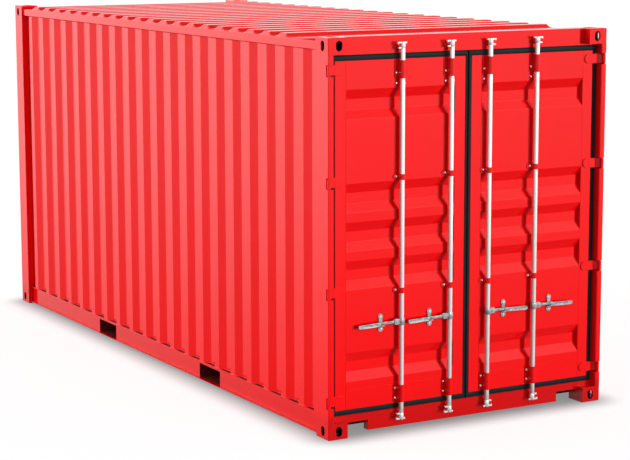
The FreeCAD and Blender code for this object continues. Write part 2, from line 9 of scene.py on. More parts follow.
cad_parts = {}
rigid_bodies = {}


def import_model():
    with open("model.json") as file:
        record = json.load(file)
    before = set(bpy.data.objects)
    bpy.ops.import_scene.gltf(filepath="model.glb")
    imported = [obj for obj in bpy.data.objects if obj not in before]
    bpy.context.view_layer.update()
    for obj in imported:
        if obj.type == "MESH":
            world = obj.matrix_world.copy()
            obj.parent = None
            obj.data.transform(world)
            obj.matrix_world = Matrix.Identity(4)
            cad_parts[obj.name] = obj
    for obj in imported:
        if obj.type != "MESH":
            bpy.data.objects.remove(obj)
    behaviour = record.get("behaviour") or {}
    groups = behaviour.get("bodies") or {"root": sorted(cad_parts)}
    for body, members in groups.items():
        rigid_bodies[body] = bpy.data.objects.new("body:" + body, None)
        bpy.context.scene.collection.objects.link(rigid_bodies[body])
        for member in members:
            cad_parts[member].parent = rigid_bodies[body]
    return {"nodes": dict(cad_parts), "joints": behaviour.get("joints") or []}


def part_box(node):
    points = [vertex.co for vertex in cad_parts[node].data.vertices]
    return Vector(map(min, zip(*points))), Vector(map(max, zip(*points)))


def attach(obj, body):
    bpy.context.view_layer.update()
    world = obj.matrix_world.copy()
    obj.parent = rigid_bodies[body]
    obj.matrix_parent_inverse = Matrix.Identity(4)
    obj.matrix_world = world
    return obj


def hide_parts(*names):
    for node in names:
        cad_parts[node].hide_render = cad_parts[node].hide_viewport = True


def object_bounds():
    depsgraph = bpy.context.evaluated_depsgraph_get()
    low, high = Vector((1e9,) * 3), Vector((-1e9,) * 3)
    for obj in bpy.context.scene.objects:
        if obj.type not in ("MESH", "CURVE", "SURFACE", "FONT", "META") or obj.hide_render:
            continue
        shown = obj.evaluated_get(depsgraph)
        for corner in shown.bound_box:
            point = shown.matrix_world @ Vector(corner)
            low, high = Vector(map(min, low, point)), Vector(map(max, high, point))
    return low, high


# Looks for a twenty foot high cube dry container. Metres, door end towards -Y, +Z up.
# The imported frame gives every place; each piece has its own dictionary of what may be changed.
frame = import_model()
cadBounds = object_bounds()  # the CAD model's box, before any piece is added
nodes = frame["nodes"]
mm = 0.001
doorSides = {"left": -1, "right": 1}


# Camera: raised, to the left of the door end, level lens without shift.

cameraView = {
    "place": (-7.997, -14.818, 3.726),
    "azimuth": -29.5,   # degrees, 0 looks along +Y
    "down": 9.12,
    "roll": -0.105,
    "lens": 111.27,     # mm
    "sensor": 36,       # mm across
    "far": 400,         # nothing beyond this is drawn
}


def makeCamera(view):
    azimuth, down, roll = (math.radians(view[key]) for key in ("azimuth", "down", "roll"))
    back = Vector((math.sin(azimuth) * math.cos(down), -math.cos(azimuth) * math.cos(down),
                   math.sin(down)))
    right = (-back).cross(Vector((0, 0, 1))).normalized()
    up = right.cross(-back)
    turned = math.cos(roll) * right + math.sin(roll) * up
    upward = -math.sin(roll) * right + math.cos(roll) * up
    camera = bpy.data.objects.new("camera", bpy.data.cameras.new("camera"))
    camera.matrix_world = Matrix.Translation(view["place"]) @ Matrix(
        (turned, upward, back)).transposed().to_4x4()
    camera.data.lens = view["lens"]
    camera.data.sensor_width = view["sensor"]
    camera.data.clip_end = view["far"]
    bpy.context.scene.collection.objects.link(camera)
    bpy.context.scene.camera = camera


makeCamera(cameraView)
print("camera set")


# Small tools: grids into meshes, bends into lines.

def gridFaces(rows, columns, wrapRows=False, wrapColumns=False):
    # quads between neighbours of a grid stored row by row, wrapped where the grid closes
    r = np.arange(rows if wrapRows else rows - 1)[:, None]
    c = np.arange(columns if wrapColumns else columns - 1)[None, :]
    below, beside = (r + 1) % rows, (c + 1) % columns
    corners = [r * columns + c, r * columns + beside, below * columns + beside, below * columns + c]
    return np.stack([np.broadcast_to(k, np.broadcast_shapes(r.shape, c.shape)) for k in corners],
                    -1).reshape(-1, 4)


def meshPiece(name, parts, material, body, closed=True, sharp=35):
    # parts: (grid, wrapRows, wrapColumns), each grid (..., rows, columns, 3); leading axes are
    # copies. Edges sharper than this many degrees stay sharp in the shading
    points, faces, start = [], [], 0
    for grid, wrapRows, wrapColumns in parts:
        grid = np.asarray(grid, float)
        rows, columns = grid.shape[-3:-1]
        stack = grid.reshape(-1, rows * columns, 3)
        one = gridFaces(rows, columns, wrapRows, wrapColumns)
        shift = start + rows * columns * np.arange(len(stack))[:, None, None]
        points.append(stack.reshape(-1, 3))
        faces.append((one[None] + shift).reshape(-1, 4))
        start += len(stack) * rows * columns
    mesh = bpy.data.meshes.new(name)
    mesh.from_pydata(np.concatenate(points).tolist(), [], np.concatenate(faces).tolist())
    shape = bmesh.new()
    shape.from_mesh(mesh)
    bmesh.ops.remove_doubles(shape, verts=shape.verts, dist=0.01 * mm)
    if closed:
        bmesh.ops.recalc_face_normals(shape, faces=shape.faces)
    shape.to_mesh(mesh)
    shape.free()
    mesh.shade_smooth()
    mesh.set_sharp_from_angle(angle=math.radians(sharp))
    mesh.materials.append(material)
    piece = bpy.data.objects.new(name, mesh)
    bpy.context.scene.collection.objects.link(piece)
    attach(piece, body)
    return piece


def rings(*grids):
    # parts whose rows are closed rings
    return [(grid, False, True) for grid in grids]


def capped(grid):
    # the same grid with its first and last rows drawn in to their middles
    first, last = (np.broadcast_to(row.mean(-2, keepdims=True), row.shape)
                   for row in (grid[..., :1, :, :], grid[..., -1:, :, :]))
    return np.concatenate([first, grid, last], -3)


def bendLine(line, radius, steps=5, rest=0.8 * mm):
    # every inner corner becomes an arc of that radius: it starts radius * tan(half the turn)
    # before the corner; a rest point on each side of the arc keeps the flats flat
    line = np.asarray(line, float)
    before, corner, after = line[:-2], line[1:-1], line[2:]
    into = (corner - before) / np.linalg.norm(corner - before, axis=1)[:, None]
    out = (after - corner) / np.linalg.norm(after - corner, axis=1)[:, None]
    turn = np.arctan2(into[:, 0] * out[:, 1] - into[:, 1] * out[:, 0], (into * out).sum(1))
    cut = radius * np.tan(np.abs(turn) / 2)
    side = np.stack([-into[:, 1], into[:, 0]], 1) * np.sign(turn)[:, None]
    angle = np.abs(turn)[:, None] * np.linspace(0, 1, steps + 1)[None]
    forward = np.sin(angle)[..., None] * into[:, None]
    sideways = (1 - np.cos(angle))[..., None] * side[:, None]
    arc = (corner - into * cut[:, None])[:, None] + radius * (forward + sideways)
    arcs = np.concatenate([arc[:, :1] - rest * into[:, None], arc, arc[:, -1:] + rest * out[:, None]],
                          1)
    return np.concatenate([line[:1], arcs.reshape(-1, 2), line[-1:]])


def backOf(line, thickness):
    # the same line moved sideways by the sheet's thickness along its own normals
    way = np.gradient(line, axis=0)
    way /= np.linalg.norm(way, axis=1)[:, None]
    return line + thickness * np.stack([-way[:, 1], way[:, 0]], 1)


def evenly(first, last, count):
    return first + (last - first) * np.arange(count) / (count - 1)


# Materials: each starts from the real stuff and how its surface was made.

def linear(hexColour):
    # sRGB hex to the linear light that the shaders work in
    values = np.array([int(hexColour[i:i + 2], 16) for i in (1, 3, 5)]) / 255
    light = np.where(values <= 0.04045, values / 12.92, ((values + 0.055) / 1.055) ** 2.4)
    return (*light.tolist(), 1.0)


def plug(tree, node, **sockets):
    # a socket, by its name or number, takes a value, or a link when it is given another output
    for name, value in sockets.items():
        target = node.inputs[int(name[1:]) if name[1:].isdigit() else name.replace("_", " ")]
        if isinstance(value, bpy.types.NodeSocket):
            tree.links.new(value, target)
        else:
            target.default_value = value


def addNode(tree, kind, settings=None, **sockets):
    # a node with its settings and its sockets' values or links
    node = tree.nodes.new("ShaderNode" + kind)
    for name, value in (settings or {}).items():
        setattr(node, name, value)
    plug(tree, node, **sockets)
    return node


def startMaterial(name):
    material = bpy.data.materials.new(name)
    material.use_nodes = True
    tree = material.node_tree
    tree.nodes.clear()
    shader = addNode(tree, "BsdfPrincipled")
    addNode(tree, "OutputMaterial", Surface=shader.outputs[0])
    place = addNode(tree, "TexCoord").outputs["Object"]
    return material, tree, shader, place


def perSize(millimetres):
    return 1 / (millimetres * mm)  # texture scale for a pattern of that size


paintLook = {
    "colour": "#E90006",
    "faded": "#DC0406",
    "roughness": 0.10,
    "roughnessChange": 0.04,
    "orangePeelMm": 14,    # real peel is 2 to 4 mm, drawn coarser so that it shows
    "peelDepth": 0.05 * mm,
    "panelWaveMm": 420,    # slow waviness of thin pressed sheet
    "fadeMm": 900,         # size of the clouds of faded paint
    "ior": 1.5,
    # painted shade: near black for the hollow inside of each casting, partly bare steel
    "bareSteel": "#120A08",
    "castingHeight": 1448 * mm,  # middle of the container's height
    "castingMiddles": ((1138 * mm, 81 * mm), (2940 * mm, 89 * mm), (1389 * mm, 59 * mm)),
    "paintedEdge": (2 * mm, 10 * mm),  # the painted shade inside a casting starts this far in from its outer faces and is full this far in
}


def castingHollowShade(tree, place, look):
    # mask of painted shade: 1 deep inside a corner casting and 0 on its outer faces: the distances from
    # the casting's middle along X, Y and Z are each compared with its half sizes, less the edge over
    # which the shade fades in
    axes = addNode(tree, "SeparateXYZ", Vector=place)
    start, end = look["paintedEdge"]
    inside = None
    for axis, (middle, half) in enumerate(look["castingMiddles"]):
        source = axes.outputs[axis]
        if axis == 2:
            source = addNode(tree, "Math", {"operation": "SUBTRACT"}, i0=source,
                             i1=look["castingHeight"]).outputs[0]
        away = addNode(tree, "Math", {"operation": "ABSOLUTE"}, i0=source)
        offset = addNode(tree, "Math", {"operation": "SUBTRACT"}, i0=away.outputs[0], i1=middle)
        near = addNode(tree, "Math", {"operation": "ABSOLUTE"}, i0=offset.outputs[0])
        mask = addNode(tree, "MapRange", Value=near.outputs[0],
                       From_Min=half - start, From_Max=half - end).outputs[0]
        inside = mask if inside is None else addNode(
            tree, "Math", {"operation": "MINIMUM"}, i0=inside, i1=mask).outputs[0]
    return inside


def sprayedEnamel(name, look, waviness, grainMm=None, grainDepth=0.0, hollow=False):
    # Alkyd enamel sprayed on steel: deep even red under a smooth clear face that mirrors the
    # studio. On a hollow casting the inside goes near black: painted shade in the hollow, with bare
    # steel where the spray doesn't reach
    material, tree, shader, place = startMaterial(name)
    slow = addNode(tree, "TexNoise", Vector=place, Scale=perSize(look["panelWaveMm"]),
                   Detail=3.0, Roughness=0.5)
    cloud = addNode(tree, "TexNoise", Vector=place, Scale=perSize(look["fadeMm"]), Detail=4.0)
    tint = addNode(tree, "Mix", {"data_type": "RGBA"}, i0=cloud.outputs["Fac"],
                   i6=linear(look["colour"]), i7=linear(look["faded"]))
    # painted shade: the hollow inside a corner casting goes near black
    if hollow:
        tint = addNode(tree, "Mix", {"data_type": "RGBA"}, i0=castingHollowShade(tree, place, look),
                       i6=tint.outputs[2], i7=linear(look["bareSteel"]))
    rough = addNode(tree, "MapRange", Value=slow.outputs["Fac"],
                    To_Min=look["roughness"] - look["roughnessChange"],
                    To_Max=look["roughness"] + look["roughnessChange"])
    peel = addNode(tree, "TexNoise", Vector=place, Scale=perSize(look["orangePeelMm"]), Detail=1.0)
    bump = addNode(tree, "Bump", Height=slow.outputs["Fac"], Distance=waviness, Strength=1.0)
    bump = addNode(tree, "Bump", Height=peel.outputs["Fac"],
                   Distance=look["peelDepth"], Strength=1.0, Normal=bump.outputs[0])
    if grainMm:
        grain = addNode(tree, "TexNoise", Vector=place, Scale=perSize(grainMm), Detail=4.0)
        bump = addNode(tree, "Bump", Height=grain.outputs["Fac"],
                       Distance=grainDepth, Strength=1.0, Normal=bump.outputs[0])
    plug(tree, shader, Base_Color=tint.outputs[2], Roughness=rough.outputs[0],
         Normal=bump.outputs[0], IOR=look["ior"])
    return material


redSheet = sprayedEnamel("sprayed_enamel_on_pressed_sheet", paintLook, waviness=1.2 * mm)
redFrame = sprayedEnamel("sprayed_enamel_on_folded_plate", paintLook, waviness=0.3 * mm)
redFitting = sprayedEnamel("sprayed_enamel_on_forged_steel", paintLook, waviness=0.2 * mm,
                           grainMm=9, grainDepth=0.25 * mm)
# the casting paint carries painted shade in the castings' hollows
redCasting = sprayedEnamel("sprayed_enamel_on_cast_steel", paintLook, waviness=0.5 * mm,
                           grainMm=6, grainDepth=0.5 * mm, hollow=True)

# Under the floor, wax brushed over primer: the same layers, dark brown red, lumpy and nearly dull; this
# darkness is also painted shade in the fork pockets, and on the rail ledges it is painted shade only.
waxAndShadeLook = dict(paintLook, colour="#6E0A07", faded="#480604", roughness=0.6)
shadeDarkenedWax = sprayedEnamel("brushed_wax_over_primer_on_plate", waxAndShadeLook, waviness=0.4 * mm,
                            grainMm=12, grainDepth=0.4 * mm)

zincLook = {"colour": "#EBE9E7", "dull": "#CFCCCA", "roughness": 0.34, "roughnessChange": 0.06,
            "metallic": 0.4, "streakMm": 22, "drawnOut": 0.05}


def platedZinc(name, look):
    # Bright zinc plating on drawn tube: silver white, partly chalky as fresh zinc salts are, with
    # soft lengthwise streaks from drawing
    material, tree, shader, place = startMaterial(name)
    stretched = addNode(tree, "Mapping", Vector=place, Scale=(1, 1, look["drawnOut"]))
    streaks = addNode(tree, "TexNoise", Vector=stretched.outputs[0],
                      Scale=perSize(look["streakMm"]), Detail=5.0)
    tint = addNode(tree, "Mix", {"data_type": "RGBA"}, i0=streaks.outputs["Fac"],
                   i6=linear(look["dull"]), i7=linear(look["colour"]))
    rough = addNode(tree, "MapRange", Value=streaks.outputs["Fac"],
                    To_Min=look["roughness"] - look["roughnessChange"],
                    To_Max=look["roughness"] + look["roughnessChange"])
    plug(tree, shader, Base_Color=tint.outputs[2], Roughness=rough.outputs[0],
         Metallic=look["metallic"])
    return material


zincBar = platedZinc("bright_zinc_on_drawn_tube", zincLook)
zincBolt = platedZinc("bright_zinc_on_cold_headed_bolt", dict(zincLook, roughness=0.26, streakMm=60))

forgedLook = {"light": "#B4B5B6", "dark": "#7C7F82", "roughness": 0.34, "roughnessChange": 0.1,
              "metallic": 0.5, "spangleMm": 14, "pitMm": 5, "pitDepth": 0.6 * mm}


def dippedZinc(name, look):
    # Hot dipped zinc on a forging: patchy grey spangle, slightly lumpy
    material, tree, shader, place = startMaterial(name)
    spangle = addNode(tree, "TexVoronoi", Vector=place, Scale=perSize(look["spangleMm"]))
    cells = addNode(tree, "SeparateColor", Color=spangle.outputs["Color"])
    tint = addNode(tree, "Mix", {"data_type": "RGBA"}, i0=cells.outputs[0],
                   i6=linear(look["dark"]), i7=linear(look["light"]))
    lumps = addNode(tree, "TexNoise", Vector=place, Scale=perSize(look["pitMm"]), Detail=3.0)
    bump = addNode(tree, "Bump", Height=lumps.outputs["Fac"], Distance=look["pitDepth"], Strength=1.0)
    rough = addNode(tree, "MapRange", Value=lumps.outputs["Fac"],
                    To_Min=look["roughness"] - look["roughnessChange"],
                    To_Max=look["roughness"] + look["roughnessChange"])
    plug(tree, shader, Base_Color=tint.outputs[2], Roughness=rough.outputs[0],
         Normal=bump.outputs[0], Metallic=look["metallic"])
    return material


zincForging = dippedZinc("hot_dipped_zinc_on_forging", forgedLook)

rubberLook = {"colour": "#081012", "bloom": "#122426", "roughness": 0.36, "ior": 1.52,
              "specular": 0.32, "bloomMm": 70, "fineMm": 4, "fineDepth": 0.1 * mm}


def extrudedRubber(name, look):
    # Extruded EPDM: near black with a cool bloom and a broad soft shine along its crown
    material, tree, shader, place = startMaterial(name)
    bloom = addNode(tree, "TexNoise", Vector=place, Scale=perSize(look["bloomMm"]), Detail=5.0)
    tint = addNode(tree, "Mix", {"data_type": "RGBA"}, i0=bloom.outputs["Fac"],
                   i6=linear(look["colour"]), i7=linear(look["bloom"]))
    fine = addNode(tree, "TexNoise", Vector=place, Scale=perSize(look["fineMm"]), Detail=2.0)
    bump = addNode(tree, "Bump", Height=fine.outputs["Fac"], Distance=look["fineDepth"], Strength=1.0)
    plug(tree, shader, Base_Color=tint.outputs[2], Normal=bump.outputs[0],
         Roughness=look["roughness"], IOR=look["ior"], Specular_IOR_Level=look["specular"])
    return material


blackRubber = extrudedRubber("extruded_epdm_rubber", rubberLook)

plywoodLook = {"pale": "#9C6B41", "dark": "#6E4526", "roughness": 0.45, "grainMm": 18,
               "bandMm": 240, "along": 0.06, "grainShare": 0.7, "darkest": 0.55, "palest": 1.15,
               "grainDepth": 0.4 * mm}


def oiledPlywood(name, look):
    # Tropical hardwood plywood, sanded and oiled: brown, long grain along the container
    material, tree, shader, place = startMaterial(name)
    along = addNode(tree, "Mapping", Vector=place, Scale=(1, look["along"], 1))
    grain = addNode(tree, "TexNoise", Vector=along.outputs[0],
                    Scale=perSize(look["grainMm"]), Detail=6.0, Roughness=0.6)
    band = addNode(tree, "TexNoise", Vector=along.outputs[0], Scale=perSize(look["bandMm"]), Detail=2.0)
    both = addNode(tree, "Math", {"operation": "MULTIPLY_ADD"}, i0=grain.outputs["Fac"],
                   i1=look["grainShare"], i2=band.outputs["Fac"])
    spread = addNode(tree, "MapRange", Value=both.outputs[0],
                     From_Min=look["darkest"], From_Max=look["palest"])
    tint = addNode(tree, "Mix", {"data_type": "RGBA"}, i0=spread.outputs[0],
                   i6=linear(look["dark"]), i7=linear(look["pale"]))
    bump = addNode(tree, "Bump", Height=grain.outputs["Fac"], Distance=look["grainDepth"], Strength=1.0)
    plug(tree, shader, Base_Color=tint.outputs[2], Normal=bump.outputs[0], Roughness=look["roughness"])
    return material


plywood = oiledPlywood("oiled_hardwood_plywood", plywoodLook)
print("materials made")

# Steel that keeps its CAD mesh: which material each node gets.

plainNodes = {
    redCasting: ["corner_castings_bottom", "corner_castings_top"],
    redFrame: ["door_header", "door_sill", "rear_top_rail", "rear_bottom_rail"]
    + [name + side for side in ("_left", "_right")
       for name in ("door_post", "rear_post", "top_side_rail", "bottom_side_rail", "door_frame")],
    redFitting: ["cam_keepers_top", "cam_keepers_bottom"]
    + [name + side for side in ("_left", "_right")
       for name in ("door_hinges", "bar_brackets", "hinge_pins")],
    zincForging: ["handle_catches_left", "handle_catches_right"],
    # painted shade: the fork pockets' insides are drawn dark
    shadeDarkenedWax: ["floor_cross_members", "fork_pockets"],
}
for material, names in plainNodes.items():
    for name in names:
        nodes[name].data.materials.clear()
        nodes[name].data.materials.append(material)


# Side walls and closed end: one sheet each, trapezoid waves with rolled bends, carried along Z.

wallSheet = {
    "outerFlat": 72 * mm, "slope": 68 * mm, "bend": 9 * mm, "sheet": 2 * mm,
    "sideWaves": 20, "sideLead": 197 * mm, "sideTail": 52 * mm,
    "rearWaves": 8, "rearEnd": 6 * mm, "rearInnerFlat": 70 * mm,
}


def waveLine(crests, start, end, crown, valley, size):
    # trapezoid wave: valley, slope up, flat crown, slope down, at each crest; then its bends rolled
    corners = np.array([(-size["slope"], valley), (0, crown), (size["outerFlat"], crown),
                        (size["outerFlat"] + size["slope"], valley)])
    line = corners[None] + np.stack([crests, 0 * crests], 1)[:, None]
    line = np.concatenate([[(start, valley)], line.reshape(-1, 2), [(end, valley)]])
    return bendLine(line, size["bend"])


def carriedSheet(name, outside, thickness, low, high, place, body):
    # a bent line carried straight from low to high: the back is the line moved inwards by the
    # thickness along its normals, and a strip between the two closes each cut end
    inside = backOf(outside, -thickness)
    ring = np.concatenate([outside, inside[::-1]])[None]
    pair = np.stack([outside, inside])
    ends = np.array([low, high])[:, None]
    grids = rings(place(ring[..., 0] + 0 * ends, ring[..., 1] + 0 * ends, ends + 0 * ring[..., 0]))
    grids += [(place(pair[..., 0], pair[..., 1], np.full(pair.shape[:2], at)), False, False)
              for at in (low, high)]
    return meshPiece(name, grids, redSheet, body)


def sidePlace(sign):
    # turns distances along the container, outwards and up into points of that side
    return lambda along, out, at: np.stack([sign * out, along, at], -1)


def rearPlace(along, out, at):
    return np.stack([along, out, at], -1)


def makeSideWall(side, sign):
    low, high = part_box("side_wall_" + side)
    crown = max(abs(low.x), abs(high.x))
    valley = min(abs(low.x), abs(high.x)) + wallSheet["sheet"]
    last = high.y - wallSheet["sideTail"] - wallSheet["slope"] - wallSheet["outerFlat"]
    crests = evenly(low.y + wallSheet["sideLead"], last, wallSheet["sideWaves"])
    line = waveLine(crests, low.y, high.y, crown, valley, wallSheet)
    piece = carriedSheet("side_wall_sheet_" + side, line, wallSheet["sheet"], low.z, high.z,
                         sidePlace(sign), "root")
    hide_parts("side_wall_" + side)
    return line, low.z, high.z


def makeRearWall():
    low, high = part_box("rear_wall")
    side = high.x - wallSheet["rearEnd"] - wallSheet["slope"] - (
        wallSheet["rearInnerFlat"] + wallSheet["outerFlat"]) / 2
    crests = evenly(-side, side, wallSheet["rearWaves"]) - wallSheet["outerFlat"] / 2
    line = waveLine(crests, low.x, high.x, high.y, low.y + wallSheet["sheet"], wallSheet)
    piece = carriedSheet("rear_wall_sheet", line, wallSheet["sheet"], low.z, high.z, rearPlace,
                         "root")
    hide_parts("rear_wall")
    return line, low.z, high.z


sideLines = {side: makeSideWall(side, sign) for side, sign in doorSides.items()}
rearLine = makeRearWall()
print("walls made")


# Roof: one sheet with pressed ribs across it. Height is the smaller of a rib wave along the
# container and a sloped end across it, and the sheet is then given its thickness downwards.

roofSheet = {
    "ribs": 20, "crest": 92 * mm, "slope": 48 * mm, "rise": 27 * mm, "lead": 516 * mm,
    "tail": 334 * mm, "endInset": 8 * mm, "endSlope": 28 * mm, "bend": 12 * mm, "sheet": 2 * mm,
    "cornerX": 1057 * mm, "castingLength": 178 * mm, "endSteps": 8,
}


def makeRoof(size):
    low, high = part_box("roof")
    top = high.z - size["rise"]
    crests = evenly(low.y + size["lead"], high.y - size["tail"] - size["slope"] - size["crest"],
                    size["ribs"])
    corners = np.array([(-size["slope"], 0), (0, size["rise"]), (size["crest"], size["rise"]),
                        (size["crest"] + size["slope"], 0)])
    line = (corners[None] + np.stack([crests, 0 * crests], 1)[:, None]).reshape(-1, 2)
    line = bendLine(np.concatenate([[(low.y, 0)], line, [(high.y, 0)]]), size["bend"])
    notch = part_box("corner_castings_top")[1].y - size["castingLength"]
    line = np.insert(line, np.searchsorted(line[:, 0], notch), [(notch, 0), (notch, 0)], axis=0)
    foot = high.x - size["endInset"]
    across = foot - size["endSlope"] * (1 - np.cos(np.linspace(0, np.pi, size["endSteps"]))) / 2
    right = np.concatenate([[high.x], across, [size["cornerX"]]])
    x = np.concatenate([-right, [0.0], right[::-1]])
    ends = np.clip((foot - np.abs(x)) / size["endSlope"], 0, 1)
    ends = size["rise"] * ends * ends * (3 - 2 * ends)  # smooth step from the foot to the crest
    height = np.minimum(line[:, 1][:, None], ends[None])
    grid = np.stack([np.broadcast_to(x, height.shape), np.broadcast_to(line[:, :1], height.shape),
                     top + height], -1)
    beyond = np.flatnonzero(line[:, 0] >= notch)[1]
    middle = np.abs(x) <= size["cornerX"] + 1e-6
    piece = meshPiece("roof_sheet", [(grid[:beyond], False, False),
                                     (grid[beyond:, middle], False, False)],
                      redSheet, "root", closed=False)
    solid = piece.modifiers.new("sheet", "SOLIDIFY")
    solid.thickness = size["sheet"]
    solid.offset = -1
    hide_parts("roof")


makeRoof(roofSheet)
print("roof made")


# Door panels: grooves pressed right across the sheet, with rolled bends.

doorPanel = {
    "grooveEnd": 311.5 * mm, "grooveSpacing": 280 * mm, "slope": 64 * mm, "flat": 80 * mm,
    "depth": 34 * mm, "bend": 16 * mm, "sheet": 2 * mm,
    "seamFromFoot": 142 * mm,   # weld between the lowest strip of sheet and the one above it
    "sealantFill": 0.96,        # share of the groove that the painted shade at its end fills
}


def grooves(low, high, size):
    # the grooves' middle heights, and the corners of one: height from its middle, depth inwards
    middle = (low.z + high.z) / 2
    half = size["flat"] / 2
    centres = np.array([low.z + size["grooveEnd"], middle - size["grooveSpacing"], middle,
                        middle + size["grooveSpacing"], high.z - size["grooveEnd"]])
    return centres, np.array([(-half - size["slope"], 0), (-half, size["depth"]),
                              (half, size["depth"]), (half + size["slope"], 0)])


def makeDoorPanel(side, size):
    low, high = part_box("door_panel_" + side)
    centres, corners = grooves(low, high, size)
    line = (corners * (1, -1) + np.stack([centres, 0 * centres], 1)[:, None]).reshape(-1, 2)
    line = bendLine(np.concatenate([[(low.z, 0)], line, [(high.z, 0)]]), size["bend"])
    piece = carriedSheet("door_sheet_" + side, line, size["sheet"], low.x, high.x,
                         lambda along, out, at: np.stack([at, low.y - out, along], -1),
                         "door_" + side)
    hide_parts("door_panel_" + side)


for side in doorSides:
    makeDoorPanel(side, doorPanel)
print("door panels made")


# Door seals: one crowned rubber section carried round the door, mitred at the corners. Its
# front stands highest in the middle, dips, and rises again to a thin lip near each edge.

sealSection = {
    "side": 40 * mm, "centre": 24 * mm, "depth": 35 * mm, "steps": 28,
    "sunk": 1 * mm, "crown": 9 * mm, "lip": 5 * mm, "lipAt": 0.88, "lipWidth": 0.10,
}


def makeSeal(side, sign, size):
    low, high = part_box("door_seal_" + side)
    outerX, innerX = (high.x, low.x) if sign > 0 else (low.x, high.x)
    outer = np.array([(innerX, low.z), (outerX, low.z), (outerX, high.z), (innerX, high.z)])
    inward = np.array([(sign * size["centre"], size["side"]), (-sign * size["side"], size["side"]),
                       (-sign * size["side"], -size["side"]), (sign * size["centre"], -size["side"])])
    u = np.linspace(-1, 1, size["steps"])
    sunk = size["sunk"] + size["crown"] * np.abs(u) ** 3 - size["lip"] * np.exp(
        -((np.abs(u) - size["lipAt"]) / size["lipWidth"]) ** 2)
    share = np.concatenate([(u + 1) / 2, [1, 0]])
    y = low.y + np.concatenate([np.maximum(sunk, 0), [size["depth"], size["depth"]]])
    flat = outer[:, None] + inward[:, None] * share[None, :, None]
    grid = np.stack([flat[..., 0], np.broadcast_to(y, flat.shape[:2]), flat[..., 1]], -1)
    piece = meshPiece("door_gasket_" + side, [(grid, True, True)], blackRubber, "door_" + side)
    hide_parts("door_seal_" + side)


for side, sign in doorSides.items():
    makeSeal(side, sign, sealSection)
print("seals made")


# Bolt heads and pins: domes worked out from radius and height. The bars' and the handles' pivots
# come from the joints.

bars, lifts = ({joint["child"]: joint["pos_m"] for joint in frame["joints"]
                if joint["name"].startswith(start)} for start in ("bar_turn", "handle_lift"))
boltHead = {
    "bearingX": 36 * mm, "bearingZ": 37 * mm, "radius": 7.5 * mm, "proud": 5.5 * mm, "rings": 6,
    "around": 16, "plate": 6 * mm, "topBearing": 2589.5 * mm, "footBearing": 276.5 * mm,
    "guides": (1046.5 * mm, 1878.5 * mm), "guideRadius": 9 * mm, "guideProud": 9 * mm,
    "catchX": 162 * mm, "catchMiddle": 815 * mm, "catchZ": 45 * mm, "catchPlate": 8 * mm,
    "skirt": 1 * mm,
}


def domes(centres, radius, proud, size):
    # at each centre: distance from the axis is radius * sin(t), height is proud * cos(t) towards
    # -Y, with a short straight skirt behind
    t = np.linspace(0, np.pi / 2, size["rings"])
    ring = np.concatenate([radius * np.sin(t), [radius, 0]])
    rise = np.concatenate([proud * np.cos(t), [-size["skirt"], -size["skirt"]]])
    turn = np.linspace(0, 2 * np.pi, size["around"], endpoint=False)
    one = np.stack([ring[:, None] * np.cos(turn), -rise[:, None] + 0 * turn,
                    ring[:, None] * np.sin(turn)], -1)
    return np.asarray(centres, float)[:, None, None] + one[None]


def makeBolts(side, size):
    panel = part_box("door_panel_" + side)[0].y
    face, catchFace = panel - size["plate"], panel - size["catchPlate"]
    rods = [place[0] for body, place in bars.items() if body.endswith(side)]
    heights = [middle + step * size["bearingZ"] for middle in (size["topBearing"], size["footBearing"])
               for step in (-1, 1)]
    small = [(x + step * size["bearingX"], face, z) for x in rods for z in heights for step in (-1, 1)]
    large = [(x - size["bearingX"], face, z) for x in rods for z in size["guides"]]
    catch = [(x + doorSides[side] * size["catchX"], catchFace,
              size["catchMiddle"] + step * size["catchZ"]) for x in rods for step in (-1, 1)]
    heads = rings(domes(small, size["radius"], size["proud"], size),
                  domes(large, size["guideRadius"], size["guideProud"], size),
                  domes(catch, size["radius"], size["proud"], size))
    meshPiece("bracket_bolts_" + side, heads, zincBolt, "door_" + side)


for side in doorSides:
    makeBolts(side, boltHead)
print("bolts made")


# Locking gear: turned tube, forged cams and clevis, and the handle that swings on it.

lockGear = {
    "tube": 17 * mm, "around": 32, "foot": 80 * mm, "top": 2850 * mm, "endRound": 3 * mm,
    "camHub": 18.5 * mm, "camHalf": 9 * mm, "head": 12 * mm, "jaw": 26 * mm, "reach": 45 * mm,
    "tail": 32 * mm, "hook": 4 * mm, "hookWidth": 9 * mm,
    "collar": 22 * mm, "collarHalf": 26 * mm, "clevisReach": 63 * mm, "clevisHalf": 20 * mm,
    "cheekInner": 4.6 * mm, "cheekOuter": 10.5 * mm, "pivot": 45 * mm, "pinHead": 9 * mm,
    "pinProud": 5 * mm, "hubRound": 2 * mm, "collarRound": 3 * mm, "sunkIn": 4 * mm,
    "prongShort": 5 * mm,
}
handleShape = {
    "tip": 320 * mm, "eye": 13 * mm, "waist": 9.5 * mm, "grip": 15 * mm, "gripStart": 143 * mm,
    "barHalf": 4 * mm, "gripHalf": 6 * mm, "drop": 8 * mm, "droop": 4 * mm, "recess": 2 * mm,
    "steps": 72, "around": 36, "squareness": 0.4, "bunched": 0.35,   # share of steps near the ends
    "armEase": (10 * mm, 40 * mm), "flare": 22 * mm, "swell": 14 * mm,
    "wellStart": (8 * mm, 14 * mm), "wellEnd": (18 * mm, 11 * mm), "wellEdge": (0.58, 0.72),
    "knobFromPivot": 117 * mm, "knob": 12 * mm, "knobProud": 8 * mm,
}


def sideSign(body):
    return doorSides[body.rsplit("_", 1)[1]]


def power(value, exponent):
    return np.sign(value) * np.abs(value) ** exponent


def smooth(value, start, end):
    t = np.clip((value - start) / (end - start), 0, 1)
    return t * t * (3 - 2 * t)


